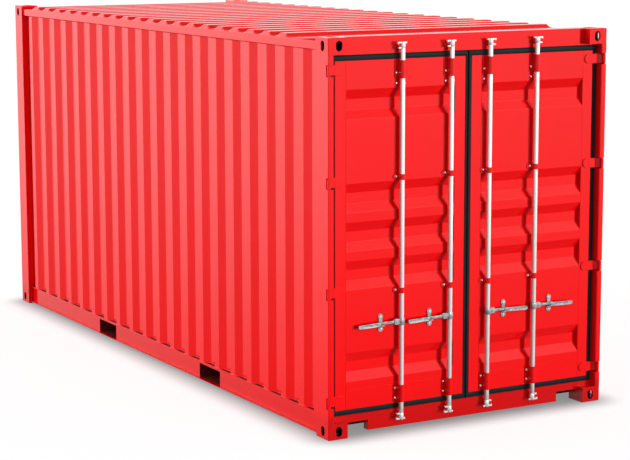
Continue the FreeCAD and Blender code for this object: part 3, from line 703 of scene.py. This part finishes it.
def forgedBlock(low, high, edge=0.22, around=32, levels=17):
    # a box with rounded edges: x = cos(v)^e cos(u)^e, y = cos(v)^e sin(u)^e, z = sin(v)^e, times
    # the half sizes; the smaller the exponent e, the sharper the edges
    low, high = np.asarray(low, float), np.asarray(high, float)
    u = np.linspace(0, 2 * np.pi, around, endpoint=False)[None]
    v = np.linspace(-np.pi / 2, np.pi / 2, levels)[:, None]
    level = power(np.cos(v), edge)
    level[[0, -1]] = 0  # the poles close to a point
    unit = np.stack([level * power(np.cos(u), edge), level * power(np.sin(u), edge),
                     power(np.sin(v), edge) + 0 * u], -1)
    return (low + high) / 2 + unit * np.abs(high - low) / 2


def turned(x, y, radii, heights, around):
    # circles of the given radii at the given heights round the line through x, y
    turn = np.linspace(0, 2 * np.pi, around, endpoint=False)
    radii, heights = np.asarray(radii, float)[:, None], np.asarray(heights, float)[:, None]
    return np.stack([x + radii * np.cos(turn), y + radii * np.sin(turn), heights + 0 * turn], -1)


def makeBar(body, size):
    x, y = bars[body][:2]
    sign = sideSign(body)
    foot, top, r, soft = size["foot"], size["top"], size["tube"], size["endRound"]
    tube = turned(x, y, [0, r - soft, r, r, r - soft, 0],
                  [foot, foot, foot + soft, top - soft, top, top], size["around"])
    piece = meshPiece(body + "_tube", rings(tube), zincBar, body, sharp=50)
    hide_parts("lock_" + body)
    # each cam: a hub round the tube, a head, a prong beside it and a hook on the head's end
    hub, ease, half = size["camHub"], size["hubRound"], size["camHalf"]
    deep = 2 * size["head"] + size["jaw"]
    tail, reach = x - sign * size["tail"], x + sign * size["reach"]
    blocks, hubs = [], []
    for end, into in ((top, -1), (foot, 1)):
        spans = (((tail, reach), (0, size["head"])),
                 ((x, reach - sign * size["prongShort"]), (size["head"] + size["jaw"], deep)),
                 ((reach - sign * size["hookWidth"], reach), (0, size["head"] + size["hook"])))
        for across, depths in spans:
            heights = [end + into * depth for depth in depths]
            blocks.append(forgedBlock((min(across), y - half, min(heights)),
                                      (max(across), y + half, max(heights))))
        hubs.append(turned(x, y, [0, hub - ease, hub, hub, hub - ease, 0],
                           [end + into * depth for depth in (0, 0, ease, deep - ease, deep, deep)],
                           size["around"]))
    meshPiece(body + "_cams", rings(np.stack(blocks), np.stack(hubs)), zincBolt, body,
              sharp=50)


def makeClevis(body, size):
    # a collar round the tube and two cheeks with the pin that the handle swings on
    x, y = bars[body][:2]
    z = lifts[body.replace("bar_", "handle_")][2]
    sign = sideSign(body)
    r, radius, half, soft = size["tube"], size["collar"], size["collarHalf"], size["collarRound"]
    collar = turned(x, y, [r, radius - soft, radius, radius, radius - soft, r],
                    [z - half, z - half, z - half + soft, z + half - soft, z + half, z + half],
                    size["around"])
    ends = sorted((x + sign * (r - size["sunkIn"]), x + sign * size["clevisReach"]))
    cheeks = []
    for step in (-1, 1):
        near, far = sorted((step * size["cheekInner"], step * size["cheekOuter"]))
        cheeks.append(forgedBlock((ends[0], y + near, z - size["clevisHalf"]),
                                  (ends[1], y + far, z + size["clevisHalf"]), edge=0.3))
    pin = domes([(x + sign * size["pivot"], y - size["cheekOuter"], z)], size["pinHead"],
                size["pinProud"], boltHead)
    meshPiece(body + "_clevis", rings(collar, np.stack(cheeks), pin), zincForging, body,
              sharp=50)


def makeHandle(body, size):
    # along the handle (s) its half height goes round the eye, narrows to the arm, widens to the
    # grip and rounds off at the tip; across it (a) the section is a rounded rectangle:
    # y = thickness * cos(a)^e, z = height * sin(a)^e; the grip's front face is sunk inside its rim
    x, y, z = lifts[body]
    sign = sideSign(body)
    t = np.linspace(0, 1, size["steps"])
    spread = t + size["bunched"] * ((1 - np.cos(np.pi * t)) / 2 - t)
    start, tip = size["gripStart"], size["tip"]
    s = (-size["eye"] + (tip + size["eye"]) * spread)[:, None]
    arm = size["eye"] + (size["waist"] - size["eye"]) * smooth(s, *size["armEase"])
    height = arm + (size["grip"] - size["waist"]) * smooth(s, start - size["flare"], start)
    height = height * np.sqrt(np.clip(1 - np.clip(-s / size["eye"], 0, 1) ** 2, 0, 1))
    tipRound = np.clip((s - tip + size["grip"]) / size["grip"], 0, 1)
    height = height * np.sqrt(1 - tipRound ** 2)
    gripPart = smooth(s, start - size["swell"], start)
    thick = size["barHalf"] + (size["gripHalf"] - size["barHalf"]) * gripPart
    middle = z - size["drop"] * gripPart - size["droop"] * smooth(s, start, tip)
    a = np.linspace(0, 2 * np.pi, size["around"], endpoint=False)[None]
    up = power(np.sin(a), size["squareness"])
    out = -power(np.cos(a), size["squareness"])
    near, far = size["wellStart"], size["wellEnd"]
    well = smooth(s, start + near[0], start + near[1]) * (1 - smooth(s, tip - far[0], tip - far[1]))
    sunk = size["recess"] * well * (1 - smooth(np.abs(up), *size["wellEdge"])) * (out < 0)
    grid = np.stack([x + sign * s + 0 * a, y + thick * out + sunk, middle + height * up], -1)
    knob = domes([(x + sign * size["knobFromPivot"], y - size["barHalf"], z)], size["knob"],
                 size["knobProud"], boltHead)
    piece = meshPiece(body + "_lever", rings(capped(grid), knob), zincForging, body,
                      sharp=60)
    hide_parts("lock_" + body)


for body in bars:
    makeBar(body, lockGear)
    makeClevis(body, lockGear)
for body in lifts:
    makeHandle(body, handleShape)
print("locking gear made")


# Weld beads: a half round bead carried along a seam, its width and height rippled along the way.

bead = {"radius": 3.5 * mm, "ripple": 0.16, "rippleEvery": 9 * mm, "around": 7, "step": 6 * mm,
        "wrap": 0.15,   # how far the half circle goes on at each side, in half turns
        "onDoor": 2 * mm, "onHinge": 2.5 * mm}


def beadAlong(route, size, outwards):
    # at each point of the route a half circle stands out: sideways across the route by
    # radius * cos(t), outwards by radius * sin(t), radius * (1 + ripple * sin(distance))
    route = np.asarray(route, float)
    length = np.concatenate([[0], np.cumsum(np.linalg.norm(np.diff(route, axis=0), axis=1))])
    at = np.linspace(0, length[-1], max(int(length[-1] / size["step"]), 2))
    path = np.stack([np.interp(at, length, route[:, k]) for k in range(3)], -1)
    way = np.gradient(path, axis=0)
    way /= np.linalg.norm(way, axis=1)[:, None]
    out = np.broadcast_to(np.asarray(outwards, float), path.shape)
    across = np.cross(way, out)
    across /= np.linalg.norm(across, axis=1)[:, None]
    t = np.pi * np.linspace(-size["wrap"], 1 + size["wrap"], size["around"])
    radius = size["radius"] * (1 + size["ripple"] * np.sin(2 * np.pi * at / size["rippleEvery"]))
    arch = np.cos(t)[:, None] * across[:, None] + np.sin(t)[:, None] * out[:, None]
    return path[:, None] + radius[:, None, None] * arch


def wallBeads(name, line, heights, place, size):
    routes = [(place(line[:, 0], line[:, 1], np.full(len(line), z)), lift) for z, lift in heights]
    meshPiece(name, rings(*(capped(beadAlong(route, size, (0, 0, lift))) for route, lift in routes)),
              redFrame, "root")


for side, sign in doorSides.items():
    line, foot, head = sideLines[side]
    wallBeads("side_wall_welds_" + side, line, ((foot, 1), (head, -1)), sidePlace(sign), bead)
line, foot = rearLine[:2]
wallBeads("rear_wall_welds", line, ((foot, 1),), rearPlace, bead)


# Rail ledges: a dark strip on the bottom rail in the hollow of each wave, painted shade where the rail's
# top lies in shade.

ledge = {"outer": 1193.5 * mm, "gap": 1 * mm, "thick": 0.6 * mm, "least": 2 * mm}


def makeLedge(side, sign, size):
    # from the wall's line, moved out by the gap, to the rail's edge, with a small thickness upwards
    line, foot = sideLines[side][:2]
    inner = np.minimum(backOf(line, size["gap"])[:, 1], size["outer"] - size["least"])
    outer, foot = np.full(len(line), size["outer"]), np.full(len(line), foot)
    near, far = (sidePlace(sign)(line[:, 0], out, foot) for out in (inner, outer))
    lift = np.array([0, 0, size["thick"]])
    # painted shade: a dark strip where the rail's top lies in shade
    meshPiece("rail_ledge_" + side, rings(capped(np.stack([near, far, far + lift, near + lift], 1))),
              shadeDarkenedWax, "root", sharp=30)


for side, sign in doorSides.items():
    makeLedge(side, sign, ledge)


# Door seams: welds over the leaf's foot and along both stiles, round the hinge blades, and a black
# sheet at the ends of the grooves as painted shade.

def makeDoorBeads(side, size):
    low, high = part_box("door_panel_" + side)
    height, behind = low.z + doorPanel["seamFromFoot"], low.y + size["onDoor"] / 2
    seams = [[(low.x, low.y, height), (high.x, low.y, height)]]
    seams += [[(x, behind, low.z), (x, behind, high.z)] for x in (low.x, high.x)]
    meshPiece("door_seam_" + side, rings(*(capped(beadAlong(seam, size, (0, -1, 0))) for seam in seams)),
              redFrame, "door_" + side)


hingeLine = {"heights": (272 * mm, 1069.667 * mm, 1867.333 * mm, 2665 * mm), "half": 35 * mm,
             "tip": 1053.5 * mm, "shoulder": 1140 * mm, "steps": 16}


def makeHingeBeads(side, sign, bead, size):
    # round each blade: along its head, a half circle round its free end, back along its foot
    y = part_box("door_panel_" + side)[0].y
    turn = np.linspace(np.pi / 2, 3 * np.pi / 2, size["steps"])
    centre = size["tip"] + size["half"]
    grids = []
    for z in size["heights"]:
        x = np.concatenate([[size["shoulder"]], centre + size["half"] * np.cos(turn),
                            [size["shoulder"]]])
        up = np.concatenate([[size["half"]], size["half"] * np.sin(turn), [-size["half"]]])
        route = np.stack([sign * x, y + 0 * x, z + up], -1)
        grids.append(capped(beadAlong(route, bead, (0, -1, 0))))
    meshPiece("hinge_welds_" + side, rings(*grids), redFrame, "door_" + side)


def makeGrooveEndShade(side, size):
    # a black sheet closes the end of each groove at the stile as painted shade: from the groove's line
    # to the door's face, 1 mm off the stile and 1 mm thick
    low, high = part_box("door_panel_" + side)
    thin = 1 * mm
    centres, corners = grooves(low, high, size)
    along, deep = size["sealantFill"] * corners.T
    front, sunk = (np.stack([high.x - thin + 0 * along, low.y + thin + depth, along], -1)
                   for depth in (0 * deep, deep))
    back = np.array([thin, 0, 0])
    ring = np.stack([front, sunk, sunk + back, front + back])
    grid = ring[None] + np.stack([0 * centres, 0 * centres, centres], -1)[:, None, None]
    meshPiece("groove_sealant_" + side, [(grid, True, False)], blackRubber, "door_" + side)


for side, sign in doorSides.items():
    makeDoorBeads(side, dict(bead, radius=bead["onDoor"]))
    makeHingeBeads(side, sign, dict(bead, radius=bead["onHinge"]), hingeLine)
# painted shade at the groove ends, on the left door only
makeGrooveEndShade("left", doorPanel)
print("welds made")


# Cargo floor: plywood sheets with eased edges, a steel strip between the two rows, and rows of
# countersunk screws over the cross members.

floorBoards = {
    "rows": 5, "gap": 3 * mm, "strip": 45 * mm, "stripThick": 4 * mm, "drop": 0.4 * mm, "edge": 0.05,
    "screwRadius": 6.5 * mm, "screwProud": 0.35 * mm, "screwsAcross": 10, "screwInset": 55 * mm,
    "screwLines": 17, "screwAround": 12,
    "screwRings": (0, 0.45, 0.55, 1, 1), "screwLevels": (-0.8, -0.8, 1, 1, -2),   # dished head
}


def makeFloorBoards(size):
    low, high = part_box("floor")
    edges = np.linspace(low.y, high.y, size["rows"] + 1)
    half = size["strip"] / 2 + size["gap"]
    gap, top, strip = size["gap"] / 2, high.z - size["drop"], size["strip"] / 2
    boards = [forgedBlock((x0, y0 + gap, low.z), (x1, y1 - gap, top), size["edge"])
              for x0, x1 in ((low.x, -half), (half, high.x)) for y0, y1 in zip(edges[:-1], edges[1:])]
    piece = meshPiece("floor_boards", rings(np.stack(boards)), plywood, "root", sharp=30)
    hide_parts("floor")
    strip = forgedBlock((-strip, low.y, high.z - size["stripThick"]), (strip, high.y, top), size["edge"])
    meshPiece("floor_strip", rings(strip), zincForging, "root", sharp=30)
    inset = size["screwInset"]
    across = np.linspace(half + inset, high.x - inset, size["screwsAcross"] // 2)
    x = np.concatenate([-across[::-1], across])[None, :]
    y = np.linspace(low.y + inset, high.y - inset, size["screwLines"])[:, None]
    turn = np.linspace(0, 2 * np.pi, size["screwAround"], endpoint=False)
    ring = np.array(size["screwRings"])[:, None] * size["screwRadius"]
    lift = np.array(size["screwLevels"])[:, None] * size["screwProud"]
    one = np.stack([ring * np.cos(turn), ring * np.sin(turn), lift + 0 * turn], -1)
    centres = np.stack([x + 0 * y, y + 0 * x, 0 * x + 0 * y + top], -1).reshape(-1, 1, 1, 3)
    meshPiece("floor_screws", rings(centres + one), zincBolt, "root")


makeFloorBoards(floorBoards)
print("floor made")


# Floor, world, nets and suns: a plain pale studio. A bright band round the horizon, dim overhead
# and below; a grey ground that only bounces light; two nets that hold part of the light off the
# foot of the container; soft suns from around and above.

studio = {
    "floorHalf": 160.0, "floorColour": "#8F9393", "floorGlow": 0.88, "groundColour": "#6E6E6E",
    "contactReach": 0.36, "contactInset": 0.10, "contactShade": 0.30,   # painted contact shadow round the base
    "horizon": 0.90, "zenith": 0.14, "bandTop": (0.54, 0.74),
    "below": 0.14, "bandFoot": (-0.30, -0.02),
    "leftRear": 0.70, "leftRearSpread": (0.35, 0.95),
    "frontLeftShade": 0.30, "frontLeftSpread": (0.10, 0.85),
    "flagAway": 0.25, "flagTop": 0.19, "flagLeft": 0.1, "flagRight": 1.5, "flagDensity": 0.5,
    "sideFlagTop": 0.20, "sideFlagFront": 0.3, "sideFlagEnd": 3.3, "sideFlagDensity": 0.3,
}
suns = {   # azimuth, height, strength, softness; angles in degrees
    "shine": (15.0, 30.0, 2.3, 10.0),   # for the zinc only
    "key": (36.0, 3.0, 3.1, 7.0),
    "side": (-105.0, 7.0, 3.2, 24.0),
    "fill": (5.0, 12.0, 0.75, 100.0),
    "top": (105.0, 52.0, 1.35, 40.0),
    "rear": (165.0, 10.0, 1.2, 50.0),
}


def softSun(name, azimuth, height, strength, softness, receivers):
    # a distant soft light; azimuth 0 stands in front of the doors and 90 to their right
    azimuth, height = math.radians(azimuth), math.radians(height)
    towards = Vector((math.sin(azimuth) * math.cos(height), -math.cos(azimuth) * math.cos(height),
                      math.sin(height)))
    light = bpy.data.objects.new(name, bpy.data.lights.new(name, "SUN"))
    light.data.energy = strength
    light.data.angle = math.radians(softness)
    light.rotation_euler = towards.to_track_quat("Z", "Y").to_euler()
    bpy.context.scene.collection.objects.link(light)
    light.light_linking.receiver_collection = receivers
    return light


def stageSheet(name, corners, material):
    # one flat face that belongs to the studio
    mesh = bpy.data.meshes.new(name)
    mesh.from_pydata(corners, [], [(0, 1, 2, 3)])
    mesh.materials.append(material)
    sheet = bpy.data.objects.new(name, mesh)
    bpy.context.scene.collection.objects.link(sheet)
    return sheet


def ground(half, height):
    return [(-half, -half, height), (half, -half, height), (half, half, height), (-half, half, height)]


def flag(name, start, end, top, density):
    # a net from start to end outside the picture keeps part of a light off the foot of the object
    net, tree, shader, place = startMaterial("scrim_net")
    tree.nodes.remove(shader)
    through = 1 - density
    gauze = addNode(tree, "BsdfTransparent", Color=(through, through, through, 1))
    plug(tree, tree.nodes["Material Output"], Surface=gauze.outputs[0])
    card = stageSheet(name, [(*start, 0), (*end, 0), (*end, top), (*start, top)], net)
    card.visible_camera = card.visible_glossy = card.visible_diffuse = False


def makeFlags(look):
    low, high = cadBounds
    y, x = low[1] - look["flagAway"], low[0] - look["flagAway"]
    flag("front_flag", (low[0] - look["flagLeft"], y), (high[0] + look["flagRight"], y),
         look["flagTop"], look["flagDensity"])
    flag("side_flag", (x, low[1] - look["sideFlagFront"]), (x, look["sideFlagEnd"]),
         look["sideFlagTop"], look["sideFlagDensity"])


def makeFloor(look):
    pale, tree, shader, place = startMaterial("matt_white_studio_floor")
    axes = addNode(tree, "SeparateXYZ", Vector=place)  # painted shadow: darker close round the base
    beyond = addNode(tree, "CombineXYZ")
    for axis in (0, 1):
        away = addNode(tree, "Math", {"operation": "ABSOLUTE"}, i0=axes.outputs[axis])
        past = addNode(tree, "Math", {"operation": "SUBTRACT"}, i0=away.outputs[0],
                       i1=cadBounds[1][axis] - look["contactInset"])
        outside = addNode(tree, "Math", {"operation": "MAXIMUM"}, i0=past.outputs[0], i1=0.0)
        tree.links.new(outside.outputs[0], beyond.inputs[axis])
    distance = addNode(tree, "VectorMath", {"operation": "LENGTH"}, i0=beyond.outputs[0])
    glow = addNode(tree, "MapRange", {"interpolation_type": "SMOOTHSTEP"},
                   Value=distance.outputs["Value"], From_Max=look["contactReach"],
                   To_Min=look["floorGlow"] * look["contactShade"], To_Max=look["floorGlow"])
    plug(tree, shader, Base_Color=linear(look["floorColour"]), Specular_IOR_Level=0.0,
         Emission_Color=(1, 1, 1, 1), Emission_Strength=glow.outputs[0])
    floor = stageSheet("studio_floor", ground(look["floorHalf"], 0), pale)
    floor.visible_diffuse = floor.visible_glossy = False
    grey, tree, shader, place = startMaterial("matt_grey_bounce")
    plug(tree, shader, Base_Color=linear(look["groundColour"]), Specular_IOR_Level=0.0)
    bounce = stageSheet("studio_ground", ground(look["floorHalf"], -1 * mm), grey)
    bounce.visible_camera = bounce.visible_glossy = False
    return floor, bounce


def makeWorld(look):
    # strength = (band by height + a lobe to the left rear) * (dim below) * (dim to the front left)
    world = bpy.data.worlds.new("studio")
    bpy.context.scene.world = world
    world.use_nodes = True
    tree = world.node_tree
    tree.nodes.clear()
    way = addNode(tree, "TexCoord").outputs["Generated"]
    height = addNode(tree, "SeparateXYZ", Vector=way).outputs["Z"]
    rear, front = (addNode(tree, "VectorMath", {"operation": "DOT_PRODUCT"}, i0=way,
                           i1=towards).outputs["Value"]
                   for towards in ((-0.70, 0.70, 0.0), (-0.70, -0.70, 0.0)))
    curves = ((height, "bandTop", look["horizon"], look["zenith"]),
              (rear, "leftRearSpread", 0.0, look["leftRear"]),
              (height, "bandFoot", look["below"], 1.0),
              (front, "frontLeftSpread", 1.0, 1 - look["frontLeftShade"]))
    upper, lobe, lower, shade = (
        addNode(tree, "MapRange", {"interpolation_type": "SMOOTHSTEP"}, Value=value,
                From_Min=look[span][0], From_Max=look[span][1], To_Min=start, To_Max=end).outputs[0]
        for value, span, start, end in curves)
    total = addNode(tree, "Math", {"operation": "ADD"}, i0=upper, i1=lobe).outputs[0]
    for part in (lower, shade):
        total = addNode(tree, "Math", {"operation": "MULTIPLY"}, i0=total, i1=part).outputs[0]
    sky = addNode(tree, "Background", Color=(1, 1, 1, 1), Strength=total)
    addNode(tree, "OutputWorld", Surface=sky.outputs[0])


def makeStudio(look):
    stage = makeFloor(look)
    makeWorld(look)
    lit = bpy.data.collections.new("container_only")  # the suns leave the pale floor even
    zinc = bpy.data.collections.new("zinc_only")  # a light of their own, so that the forgings shine
    for piece in bpy.context.scene.objects:
        if piece.type == "MESH" and piece not in stage:
            lit.objects.link(piece)
            if piece.data.materials[0] in (zincBar, zincBolt, zincForging):
                zinc.objects.link(piece)
    makeFlags(look)
    for name, sun in suns.items():
        light = softSun(name + "_light", *sun, zinc if name == "shine" else lit)
        light.visible_glossy = name == "shine"  # no other sun leaves a shine, the world gives it
    bpy.context.scene.view_settings.view_transform = "Standard"


makeStudio(studio)
print("studio made")
